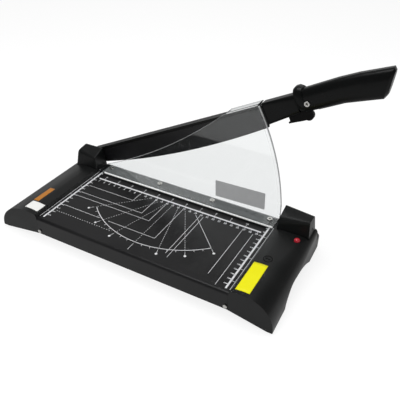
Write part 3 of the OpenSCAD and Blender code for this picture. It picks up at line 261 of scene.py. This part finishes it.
def rounded_shading():
    """Node group for the solids: drops stored normals, shades round faces smooth, keeps edges crisp."""
    group = bpy.data.node_groups.new("rounded_shading", "GeometryNodeTree")
    for way in ("INPUT", "OUTPUT"):
        group.interface.new_socket("Geometry", in_out=way, socket_type="NodeSocketGeometry")
    solid = add(group, "NodeGroupInput")
    bare = add(group, "GeometryNodeRemoveAttribute", {0: solid.outputs[0], "Name": "custom_normal"})
    soft = add(group, "GeometryNodeSetShadeSmooth", {0: bare.outputs[0], "Shade Smooth": True}, domain="FACE")
    fold = add(group, "GeometryNodeInputMeshEdgeAngle")
    steep = add(group, "FunctionNodeCompare", {0: fold.outputs["Unsigned Angle"], 1: math.radians(32)},
                operation="GREATER_THAN")
    crisp = add(group, "GeometryNodeSetShadeSmooth", {0: soft.outputs[0],
                                                      "Selection": steep.outputs["Result"],
                                                      "Shade Smooth": False}, domain="EDGE")
    add(group, "NodeGroupOutput", {0: crisp.outputs[0]})
    return group


shading = rounded_shading()


def dress(material, edge_mm, *names):
    """Finish of CAD nodes: welded, flat faces joined, shaded round, edges rounded, normals evened."""
    for name in names:
        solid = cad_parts[name]
        solid.data.materials.clear()
        solid.data.materials.append(material)
        weld = solid.modifiers.new("weld", "WELD")
        weld.merge_threshold = 0.002 * MM
        flats = solid.modifiers.new("flats", "DECIMATE")
        flats.decimate_type = "DISSOLVE"
        flats.angle_limit = math.radians(0.6)
        solid.modifiers.new("shading", "NODES").node_group = shading
        if edge_mm:
            edge = solid.modifiers.new("edges", "BEVEL")
            edge.width = edge_mm * MM
            edge.segments = 3
            edge.limit_method = "ANGLE"
            edge.angle_limit = math.radians(32)
            edge.use_clamp_overlap = True
            smooth = solid.modifiers.new("smooth", "WEIGHTED_NORMAL")
            smooth.weight = 60
            smooth.keep_sharp = False


dress(abs_caps, 1.2, "left_cap", "right_cap")
dress(abs_caps, 1.6, "hinge_tower", "laser_tower")
dress(abs_caps, 0.3, "battery_cap")
dress(abs_grip, 0.5, "grip_front", "grip_rear")
dress(abs_latch, 0.6, "latch")
dress(powder_coat, 0.3, "bed_tray")
dress(enamel, 0.7, "arm_bar")
dress(oxide_blade, 0.0, "blade")
dress(ground, 0.15, "counter_blade")
dress(brushed, 0.2, "press_strip")
dress(acrylic, 0.4, "guard")
dress(nickel, 0.5, "guard_rivets", "clamp_posts", "latch_screw", "lip_screws")
dress(zinc, 0.4, "counter_blade_screws", "cap_screws", "pivot_plate", "pivot_plate_screws", "pivot_bolt",
      "pivot_nut",
      "latch_catch", "latch_catch_screws", "board_screws", "blade_screws", "grip_screws", "clamp_spring_cups")
dress(zinc, 0.15, "pivot_spacer", "clamp_springs", "battery_contact")
dress(bronze, 0.2, "pivot_washers", "pivot_bush")
dress(rubber, 0.6, "rubber_feet", "arm_bumper")
dress(brass, 0.3, "laser_module")
dress(tinted, 0.2, "laser_lens")
dress(nylon, 0.4, "laser_cradle", "switch_body", "battery_holder")
dress(laminate, 0.1, "circuit_board")
dress(zinc, 0.3, "button_cells")
dress(pvc, 0.0, "laser_leads")
dress(red_cap, 0.9, "laser_button")


def as_piece(name, shape, material, body, film_mm=0.0):
    """A mesh drawn in millimetres about the middle of the bed, made into a piece that rides on a body.

    A film gets its thickness towards the surface it lies on.
    """
    mesh = bpy.data.meshes.new(name)
    shape.transform(Matrix.Scale(MM, 4) @ Matrix.Translation(BED_MIDDLE))
    shape.to_mesh(mesh)
    shape.free()
    piece = bpy.data.objects.new(name, mesh)
    bpy.context.scene.collection.objects.link(piece)
    mesh.materials.append(material)
    if film_mm:
        film = piece.modifiers.new("film", "SOLIDIFY")
        film.thickness = film_mm * MM
        film.offset = -1
    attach(piece, body)
    return piece


# Print on the bed: one thin film of ink, a hair above the powder coat

INK_Z = BED_TOP + 0.04


def stroke(film, start, end, width):
    """One printed line between two points of the bed."""
    a, b = Vector(start), Vector(end)
    side = (b - a).normalized().orthogonal() * (width / 2)
    corners = [a + side, a - side, b - side, b + side]
    face = film.faces.new([film.verts.new((c.x, c.y, INK_Z)) for c in corners])
    face.normal_update()
    if face.normal.z < 0:
        face.normal_flip()


def dashes(film, start, end, width, on, off):
    """A broken line."""
    a, b = Vector(start), Vector(end)
    length = (b - a).length
    way = (b - a) / length
    at = 0.0
    while at < length:
        stroke(film, a + way * at, a + way * min(at + on, length), width)
        at += on + off


# Zero of the two scales: the cutting edge for the side rulers, the left rail for the long one
CUT = 80.8
LONG_ZERO = -149.6
INCH_ZERO = -134.6
INCH = 25.4
LONG_Y = 38.2
RAIL = 150.8
RAIL_EDGE = 156.8


def spot(film, middle, radius):
    """One printed dot."""
    ring = [(middle[0] + radius * math.cos(a), middle[1] + radius * math.sin(a))
            for a in (math.radians(30 * k) for k in range(12))]
    film.faces.new([film.verts.new((x, y, INK_Z)) for x, y in ring])


def bed_print():
    """Rulers, paper frames and protractor."""
    film = bmesh.new()
    line = 0.6
    # long ruler below the guard: bar, inch ticks behind it, centimetre ticks in front
    stroke(film, (-143.6, LONG_Y), (144.6, LONG_Y), 2.8)
    for k in range(11):
        x = INCH_ZERO + INCH * k
        stroke(film, (x, LONG_Y), (x, LONG_Y + 5.6), line)
    for k in range(1, 30):
        x = LONG_ZERO + 10 * k
        stroke(film, (x, LONG_Y), (x, LONG_Y - 4.4), line)
    # side rulers: a thick and a thin line, ticks inside in centimetres and between the lines in inches
    for side in (-1, 1):
        stroke(film, (side * RAIL, -87.2), (side * RAIL, 58.0), 2.6)
        stroke(film, (side * RAIL_EDGE, -87.6), (side * RAIL_EDGE, 56.0), line)
        for k in range(3, 17):
            y = CUT - 10 * k
            stroke(film, (side * RAIL, y), (side * (RAIL - 4.0), y), 1.5)
        for k in range(1, 7):
            y = CUT - INCH * k
            stroke(film, (side * RAIL, y), (side * RAIL_EDGE, y), line)
    # paper frames in the left rear corner, the longest one open where the protractor crosses it
    for x, y in ((-60.0, 13.0), (-29.8, -7.8), (-10.0, -18.4)):
        stroke(film, (-144.4, y), (x, y), line)
        stroke(film, (x, y), (x, 33.0), line)
    stroke(film, (-144.6, -48.0), (-76.7, -48.4), line)
    stroke(film, (-61.5, -48.4), (19.4, -48.4), line)
    stroke(film, (19.4, -48.4), (19.4, 34.0), line)
    dashes(film, (-144.5, -65.3), (-43.0, -65.3), 0.8, 1.6, 2.8)
    # long lines on the right
    for x, y0, y1 in ((49.6, -67.6, 33.0), (55.5, -73.8, 28.8), (118.9, -74.5, 29.3), (136.1, -88.0, 28.4)):
        stroke(film, (x, y0), (x, y1), line)
    # protractor about a point of the cut: arc, ticks, and rays that end in a dot
    middle, r = Vector((0.0, 71.0)), 139.5
    turn = [math.radians(45 + 90 * i / 72) for i in range(73)]
    rim = [middle - r * Vector((math.cos(a), math.sin(a))) for a in turn]
    for a, b in zip(rim, rim[1:]):
        stroke(film, a, b, 1.0)
    for k in range(19):
        a = math.radians(45 + 5 * k)
        out = Vector((-math.cos(a), -math.sin(a)))
        stroke(film, middle + out * r, middle + out * (r + 4), line)
    for degrees in range(45, 136, 15):
        a = math.radians(degrees)
        out = Vector((-math.cos(a), -math.sin(a)))
        near = middle + out * (42.5 / math.sin(a))
        if degrees == 135:
            stroke(film, near, middle + out * r, line)
        else:
            dashes(film, near, middle + out * r, line, 1.9, 2.1)
        if degrees == 90:
            stroke(film, middle + out * r, middle + out * (r + 18), line)
        else:
            stroke(film, middle + out * r, middle + out * (r + 10), line)
            spot(film, middle + out * (r + 12), 1.9)
    return as_piece("bed_print", film, ink, "base", 0.03)


def numerals(name, marks, height):
    """Plain ruler numbers, each (text, x, y, turn in degrees), as one film of ink."""
    film = bmesh.new()
    for text, x, y, turn in marks:
        curve = bpy.data.curves.new("numeral", "FONT")
        curve.body = text
        curve.size = height
        curve.offset = 0.03 * height
        curve.align_x, curve.align_y = "CENTER", "CENTER"
        curve.resolution_u = 3
        carrier = bpy.data.objects.new("numeral", curve)
        bpy.context.scene.collection.objects.link(carrier)
        bpy.context.view_layer.update()
        mesh = bpy.data.meshes.new_from_object(carrier)
        mesh.transform(Matrix.Translation((x, y, INK_Z)) @ Matrix.Rotation(math.radians(turn), 4, "Z"))
        film.from_mesh(mesh)
        bpy.data.objects.remove(carrier)
        bpy.data.meshes.remove(mesh)
        bpy.data.curves.remove(curve)
    return as_piece(name, film, ink, "base", 0.03)


bed_print()
numerals("bed_numerals", [(str(k), LONG_ZERO + 10 * k, LONG_Y - 6.8, 0) for k in range(1, 30)]
         + [(str(k), INCH_ZERO + INCH * k, LONG_Y + 7.8, 0) for k in range(11)], 4.4)
numerals("side_numerals", [(str(k), side * (RAIL - 5.6), CUT - 10 * k, 0)
                           for k in range(5, 17) for side in (-1, 1)], 3.0)


# Labels: thin vinyl that follows the surface it is stuck on

def surface_of(name):
    """The outside of a CAD node, to lay things on."""
    shape = bmesh.new()
    shape.from_mesh(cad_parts[name].data)
    tree = BVHTree.FromBMesh(shape)
    shape.free()
    return tree


def cap_label(name, cap, x0, x1, y0, y1, material):
    """A rectangular label on a cap, laid over the curve of its top."""
    under = surface_of(cap)
    film = bmesh.new()
    across, along = 14, 12
    rows = []
    for j in range(along + 1):
        row = []
        for i in range(across + 1):
            flat = Vector((x0 + (x1 - x0) * i / across, y0 + (y1 - y0) * j / along, 0))
            start = (flat + BED_MIDDLE) * MM + Vector((0, 0, 0.2))
            top = under.ray_cast(start, Vector((0, 0, -1)))[0].z / MM
            row.append(film.verts.new((flat.x, flat.y, top + 0.12)))
        rows.append(row)
    for lower, upper in zip(rows, rows[1:]):
        for i in range(across):
            film.faces.new((lower[i], lower[i + 1], upper[i + 1], upper[i])).smooth = True
    return as_piece(name, film, material, "base", 0.1)


cap_label("yellow_label", "right_cap", 164.0, 183.9, -88.1, -29.8, vinyl_yellow)
cap_label("white_label", "left_cap", -186.6, -162.3, -86.8, -69.0, vinyl_white)
cap_label("orange_label", "left_cap", -188.0, -178.2, -66.6, -29.6, vinyl_orange)


def guard_label():
    """Silver-grey field on the front of the guard, set a little askew by hand."""
    film = bmesh.new()
    wide, high, corner = 81.6, 28.5, 1.2
    outline = []
    for cx, cy, start in ((1, 1, 0), (-1, 1, 90), (-1, -1, 180), (1, -1, 270)):
        for k in range(4):
            a = math.radians(start + 30 * k)
            outline.append((cx * (wide / 2 - corner) + corner * math.cos(a),
                            cy * (high / 2 - corner) + corner * math.sin(a)))
    tilt = Matrix.Rotation(math.radians(1.8), 2)
    points = [tilt @ Vector(p) for p in outline]
    face = film.faces.new([film.verts.new((91.2 + p.x, GUARD_FACE - 0.12, 64.6 + p.y)) for p in points])
    face.normal_update()
    if face.normal.y > 0:
        face.normal_flip()
    grown = bmesh.ops.extrude_face_region(film, geom=[face])
    rear = [v for v in grown["geom"] if isinstance(v, bmesh.types.BMVert)]
    bmesh.ops.translate(film, verts=rear, vec=(0, 0.1, 0))
    bmesh.ops.recalc_face_normals(film, faces=film.faces)
    return as_piece("guard_label", film, vinyl_silver, "clamp")


guard_label()


def foot_edge():
    """Sawn front edge of the guard's foot, frosted and given a painted glow, rounded where it meets the top.
    """
    strip = bmesh.new()
    ease = 0.5
    turn = [math.radians(90 - 15 * k) for k in range(7)]
    front, top = FOOT_FRONT - 0.05, FOOT_TOP + 0.05
    profile = [(front, FOOT_LOW + 0.1)]
    profile += [(front + ease - ease * math.sin(a), top - ease + ease * math.cos(a)) for a in turn]
    ends = [[strip.verts.new((x, y, z)) for y, z in profile] for x in (-143.0, 156.6)]
    for i in range(len(profile) - 1):
        strip.faces.new((ends[0][i], ends[1][i], ends[1][i + 1], ends[0][i + 1])).smooth = True
    return as_piece("guard_foot_edge", strip, cut_edge_painted_glow, "clamp", 0.04)


foot_edge()

# Round edge of the guard: the circle it is cut to and the width of its raised rim
RIM_MIDDLE = Vector((-199.0, 33.0))
RIM_RADIUS = 357.43
RIM_WIDTH = 4.0
# Degrees at which the outer and inner faces begin, and at which both end
RIM_OUTER_FROM = 5.6
RIM_INNER_FROM = 2.6
RIM_TO = 30.2
RIM_STEPS = 60


def rim_edges():
    """Sawn faces of the rim: the outer over the sheet's thickness, the inner over the step of the rim."""
    strip = bmesh.new()
    outer = (RIM_RADIUS + 0.05, GUARD_REAR - 0.2, RIM_OUTER_FROM)
    inner = (RIM_RADIUS - RIM_WIDTH - 0.05, GUARD_FACE - 0.1, RIM_INNER_FROM)
    for radius, y1, first in (outer, inner):
        turn = [math.radians(first + (RIM_TO - first) * k / RIM_STEPS) for k in range(RIM_STEPS + 1)]
        arc = [(RIM_MIDDLE.x + radius * math.cos(a), RIM_MIDDLE.y + radius * math.sin(a)) for a in turn]
        near = [strip.verts.new((x, GUARD_FACE - 1.0, z)) for x, z in arc]
        far = [strip.verts.new((x, y1, z)) for x, z in arc]
        for i in range(RIM_STEPS):
            corners = (near[i], far[i], far[i + 1], near[i + 1])
            strip.faces.new(corners if radius > RIM_RADIUS else corners[::-1]).smooth = True
    return as_piece("guard_rim_edges", strip, sawn_edges_and_painted_highlight, "clamp", 0.04)


rim_edges()


def height_at(under, x, y):
    """Height of a surface straight above a point of the bed."""
    start = (Vector((x, y, 0)) + BED_MIDDLE) * MM + Vector((0, 0, 0.4))
    return under.ray_cast(start, Vector((0, 0, -1)))[0].z / MM


def laid_strip(name, under, xs, y0, y1, lift, material, body):
    """A film laid along the top edge of a surface, between two depths."""
    strip = bmesh.new()
    level = [height_at(under, x, (y0 + y1) / 2) + lift for x in xs]
    near = [strip.verts.new((x, y0, z)) for x, z in zip(xs, level)]
    far = [strip.verts.new((x, y1, z)) for x, z in zip(xs, level)]
    for i in range(len(xs) - 1):
        strip.faces.new((near[i], near[i + 1], far[i + 1], far[i])).smooth = True
    return as_piece(name, strip, material, body, 0.04)


# The slanting edge of the sheet is sawn; a pale film on the lip is a painted highlight for the light it
# catches
sheet = surface_of("guard")
slant_xs = [-152.0 + 2.0 * k for k in range(107)]
lip_xs = [66.0 + 2.2 * k for k in range(20)]
laid_strip("guard_slant_edge", sheet, slant_xs, GUARD_FACE + 0.2, GUARD_REAR - 0.2, 0.06,
           sawn_edges_and_painted_highlight, "clamp")
laid_strip("guard_lip_painted_highlight", sheet, lip_xs, GUARD_REAR + 0.4, GUARD_REAR + 15.0, 0.06,
           sawn_edges_and_painted_highlight, "clamp")


# Battery cap in the right cap, and a dark ring round it: painted shade of the gap between cap and hole
BATTERY = Vector((178.0, -17.0))
SHADE_RING_INNER = 5.4
SHADE_RING_OUTER = 6.5
# Radius at which the cap's top is felt, outside the hole
SHADE_RING_FEEL = 6.4
SHADE_RING_STEPS = 36


def seal_ring():
    """Painted shade of the gap round the battery cap, a dark ring in the rubber stock."""
    top = surface_of("right_cap")
    ring = bmesh.new()
    turn = [math.radians(360 / SHADE_RING_STEPS * k) for k in range(SHADE_RING_STEPS)]
    ways = [Vector((math.cos(a), math.sin(a))) for a in turn]
    level = [height_at(top, *(BATTERY + SHADE_RING_FEEL * way)) + 0.12 for way in ways]
    inner, outer = ([ring.verts.new((*(BATTERY + radius * way), z)) for way, z in zip(ways, level)]
                    for radius in (SHADE_RING_INNER, SHADE_RING_OUTER))
    for i in range(SHADE_RING_STEPS):
        after = (i + 1) % SHADE_RING_STEPS
        ring.faces.new((inner[i], outer[i], outer[after], inner[after])).smooth = True
    return as_piece("battery_gap_painted_shade", ring, rubber, "base", 0.1)


seal_ring()


# Stage: pale floor that keeps a soft shadow, even studio light, white surroundings

def stage_floor():
    """Pale paper that shows near white and keeps the shadow of the cutter."""
    shape = bmesh.new()
    bmesh.ops.create_grid(shape, x_segments=1, y_segments=1, size=12)
    mesh = bpy.data.meshes.new("floor")
    shape.to_mesh(mesh)
    shape.free()
    floor = bpy.data.objects.new("floor", mesh)
    floor.location.z = -0.0002
    bpy.context.scene.collection.objects.link(floor)
    made = bpy.data.materials.new("pale_paper_floor")
    made.use_nodes = True
    tree = made.node_tree
    tree.nodes.clear()
    seen = add(tree, "ShaderNodeLightPath")
    direct = add(tree, "ShaderNodeMath", {0: seen.outputs["Is Camera Ray"],
                                          1: seen.outputs["Is Transmission Ray"]},
                 operation="MAXIMUM")
    # what is mirrored of it fades left of the cutter, which keeps the left cap's slope dark
    ground_place = add(tree, "ShaderNodeTexCoord")
    across = add(tree, "ShaderNodeSeparateXYZ", {"Vector": ground_place.outputs["Object"]})
    reach = add(tree, "ShaderNodeMapRange", {"Value": across.outputs["X"], "From Min": -0.36,
                                             "From Max": -0.22,
                                             "To Min": 0.05, "To Max": 0.35})
    mirrored = add(tree, "ShaderNodeMath", {0: seen.outputs["Is Glossy Ray"], 1: reach.outputs["Result"]},
                   operation="MULTIPLY")
    plain = add(tree, "ShaderNodeMath", {0: direct.outputs["Value"], 1: 0.8}, operation="MULTIPLY")
    glow = add(tree, "ShaderNodeMath", {0: plain.outputs["Value"], 1: mirrored.outputs["Value"]},
               operation="MAXIMUM")
    paper = add(tree, "ShaderNodeBsdfDiffuse", {"Color": (0.25, 0.25, 0.25, 1)})
    lift = add(tree, "ShaderNodeEmission", {"Color": (1, 1, 1, 1), "Strength": glow.outputs["Value"]})
    both = add(tree, "ShaderNodeAddShader", {0: paper.outputs["BSDF"], 1: lift.outputs["Emission"]})
    add(tree, "ShaderNodeOutputMaterial", {"Surface": both.outputs["Shader"]})
    mesh.materials.append(made)


def studio_world():
    """White sweep all round; in reflections bright low behind the cutter, dark to ceiling and front."""
    world = bpy.data.worlds.new("studio")
    bpy.context.scene.world = world
    world.use_nodes = True
    tree = world.node_tree
    tree.nodes.clear()
    seen = add(tree, "ShaderNodeLightPath")
    way = add(tree, "ShaderNodeTexCoord")
    facing = add(tree, "ShaderNodeVectorMath", {0: way.outputs["Generated"], 1: (-0.35, 0.75, -0.56)},
                 operation="DOT_PRODUCT")
    sweep = add(tree, "ShaderNodeMapRange", {"Value": facing.outputs["Value"], "From Min": 0.1,
                                             "From Max": 0.55,
                                             "To Min": 0.08, "To Max": 0.75}, interpolation_type="SMOOTHSTEP")
    direct = add(tree, "ShaderNodeMath", {0: seen.outputs["Is Camera Ray"],
                                          1: seen.outputs["Is Transmission Ray"]},
                 operation="MAXIMUM")
    lit = add(tree, "ShaderNodeMix", {"Factor": seen.outputs["Is Glossy Ray"], "A": 0.5,
                                      "B": sweep.outputs["Result"]},
              data_type="FLOAT")
    level = add(tree, "ShaderNodeMix", {"Factor": direct.outputs["Value"], "A": lit.outputs["Result"],
                                        "B": 1.0},
                data_type="FLOAT")
    sky = add(tree, "ShaderNodeBackground", {"Color": (1, 1, 1, 1), "Strength": level.outputs["Result"]})
    add(tree, "ShaderNodeOutputWorld", {"Surface": sky.outputs["Background"]})


def softbox(name, place, target, size, power, mirrored):
    """A rectangular lamp aimed at a point; it may be left out of reflections."""
    lamp = bpy.data.lights.new(name, "AREA")
    lamp.shape = "RECTANGLE"
    lamp.size, lamp.size_y = size
    lamp.energy = power
    holder = bpy.data.objects.new(name, lamp)
    holder.location = place
    holder.rotation_euler = (Vector(target) - Vector(place)).to_track_quat("-Z", "Y").to_euler()
    holder.visible_glossy = mirrored
    bpy.context.scene.collection.objects.link(holder)


stage_floor()
studio_world()
softbox("softbox_above", (-0.1, 0.15, 1.3), (0, 0, 0.05), (0.9, 0.5), 7.5, True)
softbox("softbox_right", (1.2, 0.1, 0.7), (0.1, 0, 0.06), (0.7, 0.9), 2, False)
softbox("softbox_front", (-0.5, -1.2, 0.7), (0, 0, 0.06), (0.9, 0.7), 8.5, False)


def photo_camera():
    """Camera of the photograph, solved from the printed scales."""
    around, up, roll = math.radians(28.54), math.radians(35.02), math.radians(0.70)
    level = Vector((math.cos(around), math.sin(around), 0))
    back = Vector((math.sin(around) * math.cos(up), -math.cos(around) * math.cos(up), math.sin(up)))
    above = back.cross(level)
    right = math.cos(roll) * level + math.sin(roll) * above
    top = -math.sin(roll) * level + math.cos(roll) * above
    lens = bpy.data.cameras.new("photo_camera")
    lens.sensor_width = 36
    lens.lens = 47.52
    lens.clip_start, lens.clip_end = 0.02, 60
    holder = bpy.data.objects.new("photo_camera", lens)
    place = Matrix.Translation((Vector((350.7, -525.0, 511.0)) + BED_MIDDLE) * MM)
    holder.matrix_world = place @ Matrix((right, top, back)).transposed().to_4x4()
    bpy.context.scene.collection.objects.link(holder)
    bpy.context.scene.camera = holder


photo_camera()
bpy.context.scene.view_settings.view_transform = "Standard"
